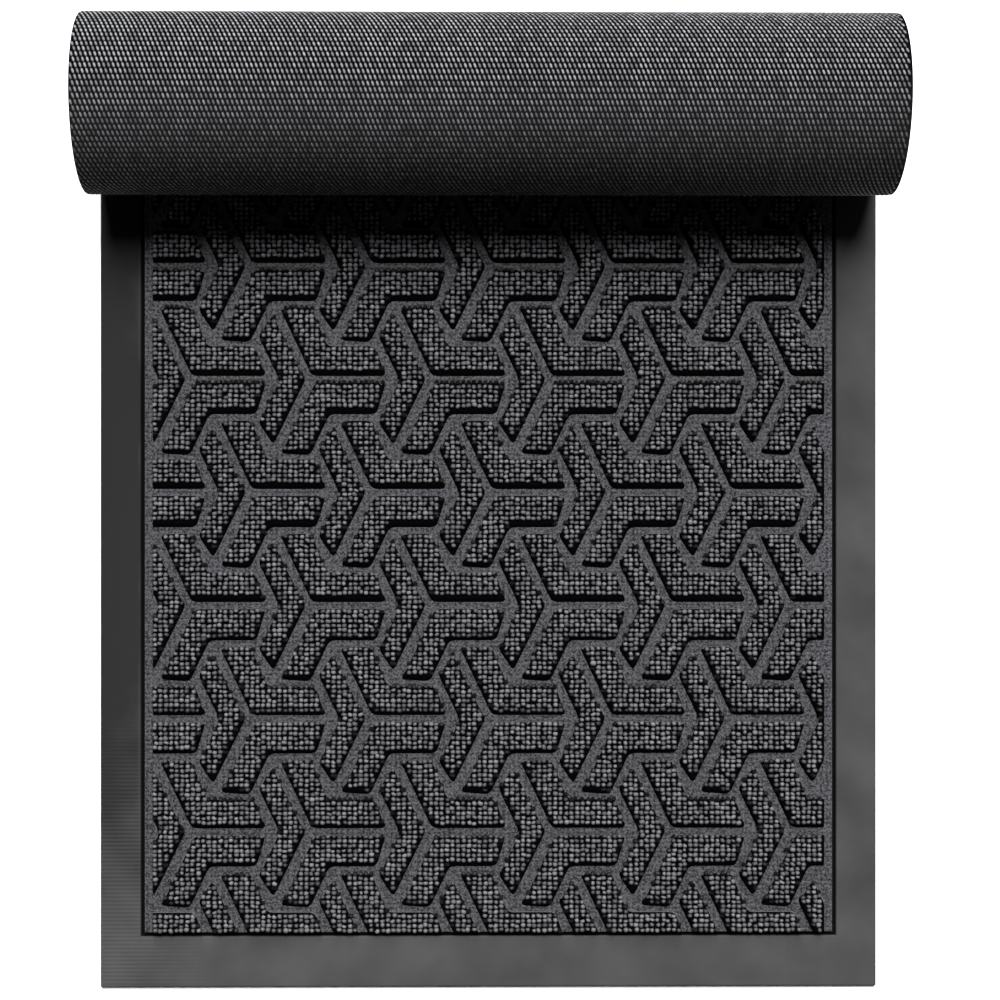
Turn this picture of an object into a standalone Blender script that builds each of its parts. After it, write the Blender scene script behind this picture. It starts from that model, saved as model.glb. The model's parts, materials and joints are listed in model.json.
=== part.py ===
"""Door mat with its far end rolled up: a moulded rubber tray with a raised-pattern carpet bonded into it.

The mat is first laid out flat, then cut across into one long panel, which lies on the floor, and a chain
of narrow strips. Each strip is hinged to the one before it along the underside of the rubber. The chain
curls up and over into a roll of one turn, and it lies down flat when every hinge opens.

Metres, +Z up, X across the mat, Y along it towards the roll. The origin is on the floor, under the
middle of the box that the rolled mat fills. In the flat layout, Y is the distance from the near edge.
"""

import math

import bmesh
import bpy
from mathutils import Matrix

# Overall sizes
MAT_WIDTH = 0.432
MAT_LENGTH = 0.754
ROLL_RADIUS = 0.0480  # from the middle of the roll to the hinge lines on its outside
STRIP_COUNT = 24

# Rubber tray
RUBBER_THICKNESS = 0.0035  # at the border
TRAY_FLOOR = 0.0020  # under the carpet
SIDE_BORDER = 0.0225
NEAR_BORDER = 0.0282
END_BORDER_STRIPS = 3  # strips at the free end that are all border
EDGE_CHAMFER = 0.0010

# Carpet
MOAT = 0.0022  # open groove between the border and the carpet
LAYER_GAP = 0.0003  # bonding gap between the tray and the carpet
CARPET_GROUND = 0.0044  # height of the flat, pressed carpet above the floor
PILE_TOP = 0.0080  # height of the raised islands above the floor
ISLAND_WALL_RUN = 0.0014  # how far an island's wall leans in between its foot and its top
ISLAND_SIDE_MARGIN = 0.0048  # flat carpet left along each side
ISLAND_END_MARGIN = 0.0005
ISLAND_ROOT = 0.0008  # how far an island's block reaches down into the flat carpet

# Raised pattern: three bent islands round each centre, with the centres in staggered rows
REPEAT_ACROSS = 0.0667
REPEAT_ALONG = 0.06285
FIRST_CENTRE_ACROSS = 0.0830  # of one centre, from the left edge
FIRST_CENTRE_ALONG = 0.2768  # of the same centre, from the near edge

# Outlines of the islands' feet round a centre, as shares of the repeat across and along
UPRIGHT_BEND = [
    (0.033, 0.032), (0.630, 0.032), (0.552, 0.285), (0.163, 0.285), (0.028, 0.630), (-0.241, 0.626),
]
DROPPED_BEND = [
    (0.033, -0.032), (-0.238, -0.662), (-0.008, -0.672), (0.162, -0.304), (0.548, -0.304),
    (0.632, -0.090), (0.622, -0.032),
]
ARROW_BEND = [
    (-0.030, 0.0), (-0.306, 0.590), (-0.429, 0.378), (-0.258, 0.0), (-0.429, -0.388), (-0.303, -0.588),
]

# Fits
HINGE_GAP = 0.0003  # between neighbouring strips, at the hinge line
REST_GAP = 0.0003  # between the roll's free edge and the carpet that it rests on
CUTTER_REACH = 0.010  # how far a cutter runs past what it cuts


def strip_turn():
    """The angle between neighbouring strips that brings the roll's free edge down onto the islands.

    The hinge lines lie on a circle. The free edge is half a strip past the last whole turn of a strip,
    counted from the point where the roll stands on the floor.
    """
    turn = 2 * math.pi / STRIP_COUNT
    for _ in range(40):
        middle_height = ROLL_RADIUS * math.cos(turn / 2)
        drop = (middle_height - PILE_TOP - REST_GAP) / ROLL_RADIUS
        turn = (2 * math.pi - math.acos(drop)) / (STRIP_COUNT + 0.5)
    return turn


STRIP_TURN = strip_turn()
STRIP_LENGTH = 2 * ROLL_RADIUS * math.sin(STRIP_TURN / 2)
FIRST_HINGE = MAT_LENGTH - STRIP_COUNT * STRIP_LENGTH  # distance from the near edge
CARPET_HALF_WIDTH = MAT_WIDTH / 2 - SIDE_BORDER - MOAT
CARPET_START = NEAR_BORDER + MOAT
CARPET_END = MAT_LENGTH - END_BORDER_STRIPS * STRIP_LENGTH - MOAT


def origin_from_near_edge():
    """Half the length of the rolled mat: the farthest hinge line or rubber corner sets its far side."""
    y, farthest = FIRST_HINGE, FIRST_HINGE
    for strip in range(1, STRIP_COUNT + 1):
        y += STRIP_LENGTH * math.cos(strip * STRIP_TURN)
        farthest = max(farthest, y)
    return farthest / 2


def linked(name, mesh):
    """An object in the scene for a mesh."""
    obj = bpy.data.objects.new(name, mesh)
    bpy.context.scene.collection.objects.link(obj)
    return obj


def from_bmesh(name, bm):
    """An object made from a bmesh, with its faces turned outwards."""
    bmesh.ops.recalc_face_normals(bm, faces=bm.faces)
    mesh = bpy.data.meshes.new(name)
    bm.to_mesh(mesh)
    bm.free()
    return linked(name, mesh)


def box(name, low, high):
    """A block between two corners."""
    bm = bmesh.new()
    bmesh.ops.create_cube(bm, size=1)
    for vert in bm.verts:
        vert.co = [low[i] if vert.co[i] < 0 else high[i] for i in range(3)]
    return from_bmesh(name, bm)


def combine(obj, other, operation):
    """Applies a Boolean of obj with other, and removes other."""
    modifier = obj.modifiers.new(operation, "BOOLEAN")
    modifier.operation = operation
    modifier.object = other
    with bpy.context.temp_override(object=obj, active_object=obj):
        bpy.ops.object.modifier_apply(modifier=modifier.name)
    bpy.data.objects.remove(other)


def rubber_layer():
    """The whole tray laid flat: a sheet with chamfered top edges, sunk in the middle for the carpet."""
    sheet = box("rubber", (-MAT_WIDTH / 2, 0, 0), (MAT_WIDTH / 2, MAT_LENGTH, RUBBER_THICKNESS))
    bm = bmesh.new()
    bm.from_mesh(sheet.data)
    top_edges = [e for e in bm.edges if all(v.co.z > RUBBER_THICKNESS / 2 for v in e.verts)]
    bmesh.ops.bevel(bm, geom=top_edges, offset=EDGE_CHAMFER, segments=1, affect="EDGES")
    bm.to_mesh(sheet.data)
    bm.free()
    sunk_half_width = CARPET_HALF_WIDTH + MOAT
    cutter = box(
        "tray_cutter",
        (-sunk_half_width, NEAR_BORDER, TRAY_FLOOR),
        (sunk_half_width, CARPET_END + MOAT, RUBBER_THICKNESS + CUTTER_REACH),
    )
    combine(sheet, cutter, "DIFFERENCE")
    return sheet


def add_island(bm, outline, centre):
    """Adds one island to a bmesh: a block rooted in the flat carpet, whose top leans in on all sides."""
    foot = [
        bm.verts.new((centre[0] + u * REPEAT_ACROSS, centre[1] + v * REPEAT_ALONG, CARPET_GROUND - ISLAND_ROOT))
        for u, v in outline
    ]
    face = bm.faces.new(foot)
    face.normal_update()
    if face.normal.z < 0:
        face.normal_flip()
    raised = bmesh.ops.extrude_face_region(bm, geom=[face])["geom"]
    top = [f for f in raised if isinstance(f, bmesh.types.BMFace)]
    bmesh.ops.translate(bm, vec=(0, 0, ISLAND_ROOT), verts=top[0].verts)
    bmesh.ops.inset_region(bm, faces=top, thickness=ISLAND_WALL_RUN, use_even_offset=True)
    bmesh.ops.translate(bm, vec=(0, 0, PILE_TOP - CARPET_GROUND), verts=top[0].verts)
    face.normal_flip()


def pattern_centres():
    """The centres of the pattern that put an island anywhere on the carpet."""
    rows_before = math.ceil(FIRST_CENTRE_ALONG / REPEAT_ALONG) + 1
    rows_after = math.ceil((MAT_LENGTH - FIRST_CENTRE_ALONG) / REPEAT_ALONG) + 1
    columns = math.ceil(MAT_WIDTH / REPEAT_ACROSS) + 2
    for row in range(-rows_before, rows_after + 1):
        stagger = REPEAT_ACROSS / 2 if row % 2 else 0.0
        for column in range(-columns, columns + 1):
            yield (
                FIRST_CENTRE_ACROSS - MAT_WIDTH / 2 + column * REPEAT_ACROSS + stagger,
                FIRST_CENTRE_ALONG + row * REPEAT_ALONG,
            )


def carpet_layer():
    """The whole carpet laid flat: a pressed sheet with the raised islands that fit inside its margins."""
    sheet = box(
        "carpet",
        (-CARPET_HALF_WIDTH, CARPET_START, TRAY_FLOOR + LAYER_GAP),
        (CARPET_HALF_WIDTH, CARPET_END, CARPET_GROUND),
    )
    low = (-CARPET_HALF_WIDTH + ISLAND_SIDE_MARGIN, CARPET_START + ISLAND_END_MARGIN)
    high = (CARPET_HALF_WIDTH - ISLAND_SIDE_MARGIN, CARPET_END - ISLAND_END_MARGIN)
    bm = bmesh.new()
    for centre in pattern_centres():
        for outline in (UPRIGHT_BEND, DROPPED_BEND, ARROW_BEND):
            xs = [centre[0] + u * REPEAT_ACROSS for u, _ in outline]
            ys = [centre[1] + v * REPEAT_ALONG for _, v in outline]
            if min(xs) < high[0] and max(xs) > low[0] and min(ys) < high[1] and max(ys) > low[1]:
                add_island(bm, outline, centre)
    islands = from_bmesh("islands", bm)
    trim = box("island_trim", (*low, 0), (*high, PILE_TOP + CUTTER_REACH))
    combine(islands, trim, "INTERSECT")
    combine(sheet, islands, "UNION")
    return sheet


def wedge(name, start, end):
    """A cutter for the stretch from start to end of the flat layout, mitred for the hinges at its ends.

    An end that is None is left open, past the end of the mat.
    """
    lean = math.tan(STRIP_TURN / 2)
    bottom, top = -CUTTER_REACH, PILE_TOP + CUTTER_REACH

    def face_at(hinge, side):
        if hinge is None:
            far = -CUTTER_REACH if side > 0 else MAT_LENGTH + CUTTER_REACH
            return far, far
        return tuple(hinge + side * (HINGE_GAP / 2 + z * lean) for z in (bottom, top))

    start_low, start_high = face_at(start, 1)
    end_low, end_high = face_at(end, -1)
    profile = [(start_low, bottom), (end_low, bottom), (end_high, top), (start_high, top)]
    half_width = MAT_WIDTH / 2 + CUTTER_REACH
    bm = bmesh.new()
    face = bm.faces.new([bm.verts.new((-half_width, y, z)) for y, z in profile])
    moved = bmesh.ops.extrude_face_region(bm, geom=[face])["geom"]
    verts = [v for v in moved if isinstance(v, bmesh.types.BMVert)]
    bmesh.ops.translate(bm, vec=(2 * half_width, 0, 0), verts=verts)
    return from_bmesh(name, bm)


def cut_piece(layer, name, start, end, material):
    """The stretch of a layer from start to end, with its origin on the hinge at its start."""
    piece = linked(name, layer.data.copy())
    combine(piece, wedge(name + "_cutter", start, end), "INTERSECT")
    piece.data.transform(Matrix.Translation((0, -(start or 0.0), 0)))
    piece.data.name = name
    piece.data.materials.clear()
    piece.data.materials.append(material)
    return piece


def surface(name, colour, roughness):
    """A Principled material."""
    material = bpy.data.materials.new(name)
    material.use_nodes = True
    shader = material.node_tree.nodes["Principled BSDF"]
    shader.inputs["Base Color"].default_value = (*colour, 1)
    shader.inputs["Roughness"].default_value = roughness
    shader.inputs["Metallic"].default_value = 0
    return material


def hinge_frame(name, parent, offset, turn):
    """An empty on a hinge line, turned up from the piece before it."""
    empty = bpy.data.objects.new(name, None)
    bpy.context.scene.collection.objects.link(empty)
    empty.empty_display_size = STRIP_LENGTH
    empty.parent = parent
    empty.location = (0, offset, 0)
    empty.rotation_euler = (turn, 0, 0)
    return empty


def main():
    """Lays the two layers out flat, cuts them, and hangs the strips on a chain of hinges."""
    for obj in list(bpy.data.objects):
        bpy.data.objects.remove(obj)
    rubber = surface("moulded_rubber", (0.055, 0.055, 0.056), 0.6)
    pile = surface("polypropylene_pile", (0.035, 0.035, 0.037), 0.95)
    layers = [
        ("rubber", rubber_layer(), rubber, MAT_LENGTH),
        ("carpet", carpet_layer(), pile, CARPET_END),
    ]
    base = hinge_frame("near_edge", None, -origin_from_near_edge(), 0)
    for name, layer, material, _ in layers:
        flat = cut_piece(layer, name + "_panel", None, FIRST_HINGE, material)
        flat.parent = base
    hinge = base
    for strip in range(STRIP_COUNT):
        start = FIRST_HINGE + strip * STRIP_LENGTH
        end = start + STRIP_LENGTH if strip < STRIP_COUNT - 1 else None
        offset = FIRST_HINGE if strip == 0 else STRIP_LENGTH
        hinge = hinge_frame(f"hinge_{strip + 1:02d}", hinge, offset, STRIP_TURN)
        for name, layer, material, layer_end in layers:
            if start + MOAT < layer_end:
                piece = cut_piece(layer, f"{name}_strip_{strip + 1:02d}", start, end, material)
                piece.parent = hinge
    for _, layer, _, _ in layers:
        bpy.data.objects.remove(layer)


main()
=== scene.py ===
"""Looks of a door mat whose far end is rolled up: a moulded rubber tray with a looped carpet bonded into it.

Every layer is modelled laid out flat, in flat places (x across, s along from the near edge, h above the
underside). The layers are then cut across at the middle of each hinged strip, and the stretches past the
flat panel are curled onto the roll, where each one bends between two neighbouring strips. Lengths are in
metres unless a comment says otherwise.
"""

from __future__ import annotations

import json
import logging
import math
from collections.abc import Callable, Iterator
from contextlib import contextmanager
from dataclasses import dataclass, field
from enum import Enum
from functools import partial

import bmesh
import bpy
import numpy as np
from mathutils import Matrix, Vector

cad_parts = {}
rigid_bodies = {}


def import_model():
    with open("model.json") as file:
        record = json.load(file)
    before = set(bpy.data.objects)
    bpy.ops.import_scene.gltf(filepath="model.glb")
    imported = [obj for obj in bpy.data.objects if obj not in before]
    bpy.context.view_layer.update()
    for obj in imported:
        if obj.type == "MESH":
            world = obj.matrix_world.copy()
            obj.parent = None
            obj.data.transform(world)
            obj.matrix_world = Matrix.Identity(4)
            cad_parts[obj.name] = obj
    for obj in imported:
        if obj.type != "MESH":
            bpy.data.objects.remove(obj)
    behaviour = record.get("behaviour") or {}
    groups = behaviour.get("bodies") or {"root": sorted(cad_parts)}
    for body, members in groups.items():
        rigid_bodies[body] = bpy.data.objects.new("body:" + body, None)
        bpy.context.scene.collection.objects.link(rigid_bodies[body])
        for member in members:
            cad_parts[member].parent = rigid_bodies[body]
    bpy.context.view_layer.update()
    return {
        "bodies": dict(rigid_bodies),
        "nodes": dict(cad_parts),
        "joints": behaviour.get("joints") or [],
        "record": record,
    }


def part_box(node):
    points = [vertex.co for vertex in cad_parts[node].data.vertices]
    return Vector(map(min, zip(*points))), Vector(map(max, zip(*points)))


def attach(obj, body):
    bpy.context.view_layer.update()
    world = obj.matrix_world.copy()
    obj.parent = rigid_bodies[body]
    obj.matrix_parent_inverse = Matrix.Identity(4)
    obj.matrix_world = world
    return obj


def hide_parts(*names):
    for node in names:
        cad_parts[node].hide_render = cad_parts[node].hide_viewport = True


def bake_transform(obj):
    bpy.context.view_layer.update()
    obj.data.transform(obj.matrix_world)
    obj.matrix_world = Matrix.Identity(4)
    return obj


LOG = logging.getLogger("door_mat")
PLACE = "flat_place"  # point attribute: where the point lies when the mat is flat
TINT = "tint"  # point attribute: one random share for each loop or nub
SEED = 17
HAIR = 1e-5  # a length that counts as nothing
WELD = 1e-6  # how near points are merged by a cut
ROLL_SHADE_FROM, ROLL_SHADE_TO = 0.626, 0.672  # where painted shade darkens the nubs of the underside, on the side of the roll turned away from the lights, from the near edge
FACING = 0.9  # part of a unit normal that counts as facing along an axis

TINY = 1e-9  # keeps divisions safe
LEVEL = 0.5  # what a piece without a tint of its own gets
# Feet of the three kinds of island round a centre of the pattern, in shares of its repeat.
ISLAND_FEET = (
    ((0.018, 0.022), (0.640, 0.022), (0.556, 0.285), (0.163, 0.285), (0.028, 0.630), (-0.252, 0.626)),
    ((0.636, -0.036), (0.033, -0.036), (-0.246, -0.662), (0.002, -0.680), (0.166, -0.316), (0.556, -0.316)),
    ((-0.030, 0.0), (-0.306, 0.590), (-0.429, 0.378), (-0.258, 0.0), (-0.429, -0.388), (-0.303, -0.588)),
)

Piece = bpy.types.Object
Material = bpy.types.Material
Tree = bpy.types.NodeTree
Socket = bpy.types.NodeSocket
Source = bpy.types.NodeSocket | bpy.types.Node  # a node stands for its first output
Add = Callable[..., bpy.types.Node]  # add_node for a known tree
Triple = tuple[float, float, float]
Span = tuple[float | None, float | None]


class Side(Enum):
    """Which side of a cut is dropped, seen along the normal of its plane."""

    BEFORE = "before"
    BEYOND = "beyond"


class Element(Enum):
    """What can be picked in edit mode."""

    FACE = "faces"
    EDGE = "edges"


# ---------------------------------------------------------------- small tools


def linear(colour: str) -> tuple[float, float, float, float]:
    """Turns an sRGB hex colour into linear RGBA.

    Args:
        colour: Six hex digits after a hash.

    Returns:
        The linear colour, fully opaque.
    """
    shares = [int(colour[i : i + 2], 16) / 255 for i in (1, 3, 5)]
    red, green, blue = (c / 12.92 if c <= 0.04045 else ((c + 0.055) / 1.055) ** 2.4 for c in shares)
    return (red, green, blue, 1.0)


def set_up(
    node: bpy.types.Node, settings: dict[str | int, object], links: dict[str | int, Source]
) -> None:
    """Sets a node's properties and unlinked inputs, then links what feeds its other inputs."""
    for key, value in settings.items():
        if isinstance(key, str) and hasattr(node, key):
            setattr(node, key, value)
        else:
            node.inputs[key].default_value = value
    for key, source in links.items():
        socket = source.outputs[0] if isinstance(source, bpy.types.Node) else source
        node.id_data.links.new(socket, node.inputs[key])


def add_node(
    tree: Tree,
    kind: str,
    settings: dict[str | int, object] | None = None,
    links: dict[str | int, Source] | None = None,
) -> bpy.types.Node:
    """Adds one node with its settings and its incoming links.

    Args:
        tree: The node tree to add to.
        kind: Blender's name for the node type.
        settings: Node properties, or values of unlinked input sockets.
        links: What feeds each linked input socket.

    Returns:
        The new node.
    """
    node = tree.nodes.new(kind)
    set_up(node, settings or {}, links or {})
    return node


def deselect() -> None:
    """Leaves nothing selected."""
    for obj in bpy.context.selected_objects:
        obj.select_set(False)


def make_active(obj: Piece) -> None:
    """Selects one object alone and makes it active."""
    deselect()
    obj.select_set(True)
    bpy.context.view_layer.objects.active = obj


@contextmanager
def editing(obj: Piece) -> Iterator[None]:
    """Holds an object in edit mode, all selected at first, while the block runs."""
    make_active(obj)
    bpy.ops.object.mode_set(mode="EDIT")
    bpy.ops.mesh.select_all(action="SELECT")
    yield
    bpy.ops.object.mode_set(mode="OBJECT")


def pick(obj: Piece, kind: Element, wanted: Callable[..., bool]) -> None:
    """Selects, in edit mode, just the faces or edges that pass a test."""
    bpy.ops.mesh.select_all(action="DESELECT")
    bpy.ops.mesh.select_mode(type=kind.name)
    bm = bmesh.from_edit_mesh(obj.data)
    for element in getattr(bm, kind.value):
        element.select_set(wanted(element))
    bm.select_flush_mode()
    bmesh.update_edit_mesh(obj.data)


def slice_at(place: Triple, normal: Triple, drop: Side | None = None) -> None:
    """Cuts the object in edit mode by a plane, and closes the cut where a side is dropped.

    Args:
        place: A point of the plane.
        normal: The plane's normal.
        drop: The side to drop, if any.
    """
    bpy.ops.mesh.select_all(action="SELECT")
    bpy.ops.mesh.bisect(
        plane_co=place,
        plane_no=normal,
        use_fill=drop is not None,
        clear_inner=drop is Side.BEFORE,
        clear_outer=drop is Side.BEYOND,
        threshold=WELD,
    )


def add_block(name: str, low: Triple, high: Triple) -> Piece:
    """Adds a cube stretched between two corners, with its place in its mesh.

    Args:
        name: The object's name.
        low: The lowest corner.
        high: The highest corner.

    Returns:
        The block.
    """
    deselect()
    centre = [(a + b) / 2 for a, b in zip(low, high)]
    bpy.ops.mesh.primitive_cube_add(size=1, location=centre)
    block = bpy.context.object
    block.name = name
    block.scale = [b - a for a, b in zip(low, high)]
    bpy.ops.object.transform_apply()
    return block


def add_object(name: str, data: bpy.types.ID) -> Piece:
    """Adds an object to the scene."""
    obj = bpy.data.objects.new(name, data)
    bpy.context.scene.collection.objects.link(obj)
    return obj


def points_of(obj: Piece) -> np.ndarray:
    """An object's points as an array of (n, 3)."""
    points = np.empty(len(obj.data.vertices) * 3, np.float32)
    obj.data.vertices.foreach_get("co", points)
    return points.reshape(-1, 3).astype(float)


def set_points(obj: Piece, points: np.ndarray) -> None:
    """Moves an object's points to new places."""
    obj.data.vertices.foreach_set("co", points.astype(np.float32).ravel())
    obj.data.update()


def set_attribute(obj: Piece, name: str, values: np.ndarray) -> None:
    """Writes a point attribute: vectors if values has three columns, else single numbers."""
    vectors = values.ndim == 2
    kind = "FLOAT_VECTOR" if vectors else "FLOAT"
    attribute = obj.data.attributes.get(name) or obj.data.attributes.new(name, kind, "POINT")
    attribute.data.foreach_set("vector" if vectors else "value", values.astype(np.float32).ravel())


def remove(*objects: Piece) -> None:
    """Deletes objects that only served as patterns."""
    for obj in objects:
        bpy.data.objects.remove(obj)


@dataclass(frozen=True)
class Scatter:
    """One small shape and the many places where it stands in the flat layout."""

    pattern: Piece  # round the origin
    frames: np.ndarray  # (n, 3, 3), a matrix for each copy
    places: np.ndarray  # (n, 3), each copy's origin

    def stamped(self, name: str, chosen: np.ndarray | slice = slice(None)) -> Piece:
        """Copies the shape to all or some of its places, in one mesh.

        Args:
            name: The new object's name.
            chosen: Which of the places.

        Returns:
            The object, with the pattern's materials and a random tint for each copy.
        """
        shape = points_of(self.pattern)
        places = self.places[chosen]
        count, size = len(places), len(shape)
        points = np.einsum("nij,vj->nvi", self.frames[chosen], shape) + places[:, None, :]
        source = self.pattern.data
        corners = np.empty(len(source.loops), np.int32)
        source.loops.foreach_get("vertex_index", corners)
        starts = np.empty(len(source.polygons), np.int32)
        source.polygons.foreach_get("loop_start", starts)
        mesh = bpy.data.meshes.new(name)
        mesh.vertices.add(count * size)
        mesh.vertices.foreach_set("co", points.astype(np.float32).ravel())
        steps = np.arange(count, dtype=np.int32)[:, None]
        mesh.loops.add(count * len(corners))
        mesh.loops.foreach_set("vertex_index", (corners[None] + steps * size).ravel())
        mesh.polygons.add(count * len(starts))
        mesh.polygons.foreach_set("loop_start", (starts[None] + steps * len(corners)).ravel())
        mesh.update(calc_edges=True)
        mesh.validate()
        for material in source.materials:
            mesh.materials.append(material)
        slots = np.empty(len(starts), np.int32)
        source.polygons.foreach_get("material_index", slots)
        mesh.polygons.foreach_set("material_index", np.tile(slots, count))
        obj = add_object(name, mesh)
        tints = np.random.default_rng(SEED + count).random(count)
        set_attribute(obj, TINT, np.repeat(tints, size))
        return obj


def upright(count: int) -> np.ndarray:
    """(n, 3, 3) matrices that change nothing."""
    return np.tile(np.eye(3), (count, 1, 1))


# ---------------------------------------------------------------- finishes


@dataclass(frozen=True)
class Fade:
    """A value that goes from one number to another over a stretch."""

    start: float
    end: float
    first: float = 0.0
    last: float = 1.0

    @property
    def settings(self) -> dict[str, float]:
        """The same, as the settings of a Map Range node."""
        return {"From Min": self.start, "From Max": self.end, "To Min": self.first, "To Max": self.last}


@dataclass(frozen=True)
class Looks:
    """What varies over a finish."""

    shade: Source  # 0 is the dark shade and 1 the light one
    height: Source | None = None
    roughness: Source | None = None


@dataclass(frozen=True)
class Finish:
    """A material: its name, its two shades, how rough it is and how much it shines."""

    name: str
    dark: str
    light: str
    roughness: float
    shine: float
    sheen: float = 0.0
    bump: float = 1.0  # strength of the relief
    relief: float = 0.0  # its height

    def looks(self, add: Add, place: Socket) -> Looks:
        """Adds the nodes that vary over this finish.

        Args:
            add: Adds one node to the material's tree.
            place: The flat place as a vector.

        Returns:
            What they drive.
        """
        raise NotImplementedError

    @staticmethod
    def wave(add: Add, distance: Socket, pitch: float) -> bpy.types.Node:
        """A sine that repeats at a pitch along a distance, as ribs and rows do."""
        turns = add("ShaderNodeMath", {"operation": "MULTIPLY", 1: 2 * math.pi / pitch}, {0: distance})
        return add("ShaderNodeMath", {"operation": "SINE"}, {0: turns})

    def material(self) -> Material:
        """Builds the material."""
        material = bpy.data.materials.new(self.name)
        material.use_nodes = True
        add = partial(add_node, material.node_tree)
        place = add("ShaderNodeAttribute", {"attribute_name": PLACE})
        looks = self.looks(add, place.outputs["Vector"])
        shades = {"data_type": "RGBA", 6: linear(self.dark), 7: linear(self.light)}
        driven = {"Base Color": add("ShaderNodeMix", shades, {0: looks.shade}).outputs[2]}
        if looks.height is not None:
            reliefs = {"Strength": self.bump, "Distance": self.relief}
            driven["Normal"] = add("ShaderNodeBump", reliefs, {"Height": looks.height})
        if looks.roughness is not None:
            driven["Roughness"] = looks.roughness
        shader = material.node_tree.nodes["Principled BSDF"]
        fixed = {"Roughness": self.roughness, "Specular IOR Level": self.shine, "Sheen Weight": self.sheen}
        set_up(shader, fixed, driven)
        return material


@dataclass(frozen=True)
class RubberFinish(Finish):
    """Nitrile rubber pressed in a steel mould: matt black with a fine grain and faint milling lines.

    The milling lines of the mould run across the mat. They are deepest at its near left corner, and their
    stripes of colour are painted highlight and shade along them. The left side is darker, which is painted
    shade, and the near edge is a little paler, which is painted light.
    """

    bump: float = 0.5
    relief: float = 0.00004
    grain: float = 0.0006  # across one speck
    cloud: float = 0.045  # across one soft patch
    line_pitch: float = 0.0022
    line_depth: float = 0.6  # against the grain
    # painted highlight and shade along the milling lines, as stripes of colour
    line_shade: float = 0.12
    lined_across: Fade = Fade(-0.20, -0.15, 1.0, 0.05)
    lined_along: Fade = Fade(0.09, 0.15, 1.0, 0.1)
    # painted shade: the left side darker
    dark_across: Fade = Fade(-0.196, -0.188, -0.62, 0.0)
    dark_along: Fade = Fade(0.03, 0.15)
    # painted light: the near edge paler
    rubbed_along: Fade = Fade(0.0, 0.06, 0.13, 0.0)
    smoothest: float = -0.06  # how the roughness differs at the darkest cloud
    roughest: float = 0.08  # and at the palest

    def looks(self, add: Add, place: Socket) -> Looks:
        """Adds the grain, the clouds, the lines, the painted shade of the left side and the painted light of
        the near edge.
        """
        specks = add("ShaderNodeTexNoise", {"Scale": 1 / self.grain, "Detail": 3.0}, {"Vector": place})
        clouds = add("ShaderNodeTexNoise", {"Scale": 1 / self.cloud, "Detail": 4.0}, {"Vector": place})
        x, s, _ = add("ShaderNodeSeparateXYZ", links={0: place}).outputs
        lines = self.wave(add, s, self.line_pitch)
        left = add("ShaderNodeMapRange", self.lined_across.settings, {"Value": x})
        near = add("ShaderNodeMapRange", self.lined_along.settings, {"Value": s})
        deep = add("ShaderNodeMath", {"operation": "MULTIPLY"}, {0: left, 1: near})
        shown = add("ShaderNodeMath", {"operation": "MULTIPLY"}, {0: lines, 1: deep})
        depth = {"operation": "MULTIPLY_ADD", 1: self.line_depth}
        height = add("ShaderNodeMath", depth, {0: shown, 2: specks})
        # Painted shade darkens the left side, and painted light makes the near edge paler.
        dark = add("ShaderNodeMapRange", self.dark_across.settings, {"Value": x})
        along = add("ShaderNodeMapRange", self.dark_along.settings, {"Value": s})
        side = add("ShaderNodeMath", {"operation": "MULTIPLY"}, {0: dark, 1: along})
        near_light = add("ShaderNodeMapRange", self.rubbed_along.settings, {"Value": s})
        painted_light_and_shade = add("ShaderNodeMath", {"operation": "ADD"}, {0: side, 1: near_light})
        lined = {"operation": "MULTIPLY_ADD", 1: self.line_shade}
        patches = add("ShaderNodeMath", lined, {0: shown, 2: clouds})
        shade = add("ShaderNodeMath", {"operation": "ADD", "use_clamp": True}, {0: patches, 1: painted_light_and_shade})
        uneven = {"To Min": self.roughness + self.smoothest, "To Max": self.roughness + self.roughest}
        return Looks(shade, height, add("ShaderNodeMapRange", uneven, {"Value": clouds}))


@dataclass(frozen=True)
class NubFinish(Finish):
    """The cloth-marked rubber underside: nubs with painted highlights on their tops, and painted shade that
    makes them duller towards the free end, on the side of the roll turned away from the lights.
    """

    bump: float = 0.4
    relief: float = 0.00005
    grain: float = 0.0005
    raised: Fade = Fade(-0.00002, -0.00040)  # flat heights of a nub's foot and top: painted shade at the foot, painted highlight on the top
    # painted shade over the side of the roll turned away from the lights
    polish: Fade = Fade(ROLL_SHADE_FROM, ROLL_SHADE_TO, 1.0, 0.38)
    tints: Fade = Fade(0.0, 1.0, 0.40, 1.0)  # from the dullest nub to the brightest

    def looks(self, add: Add, place: Socket) -> Looks:
        """Adds the painted highlight of the tops, the painted shade towards the free end and a fine grain.
        """
        specks = add("ShaderNodeTexNoise", {"Scale": 1 / self.grain, "Detail": 2.0}, {"Vector": place})
        _, s, flat_height = add("ShaderNodeSeparateXYZ", links={0: place}).outputs
        tint = add("ShaderNodeAttribute", {"attribute_name": TINT}).outputs["Fac"]
        raised = add("ShaderNodeMapRange", self.raised.settings, {"Value": flat_height})
        polish = add("ShaderNodeMapRange", self.polish.settings, {"Value": s})
        strength = add("ShaderNodeMapRange", self.tints.settings, {"Value": tint})
        kept = add("ShaderNodeMath", {"operation": "MULTIPLY"}, {0: raised, 1: polish})
        shade = add("ShaderNodeMath", {"operation": "MULTIPLY"}, {0: kept, 1: strength})
        return Looks(shade, specks)


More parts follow.
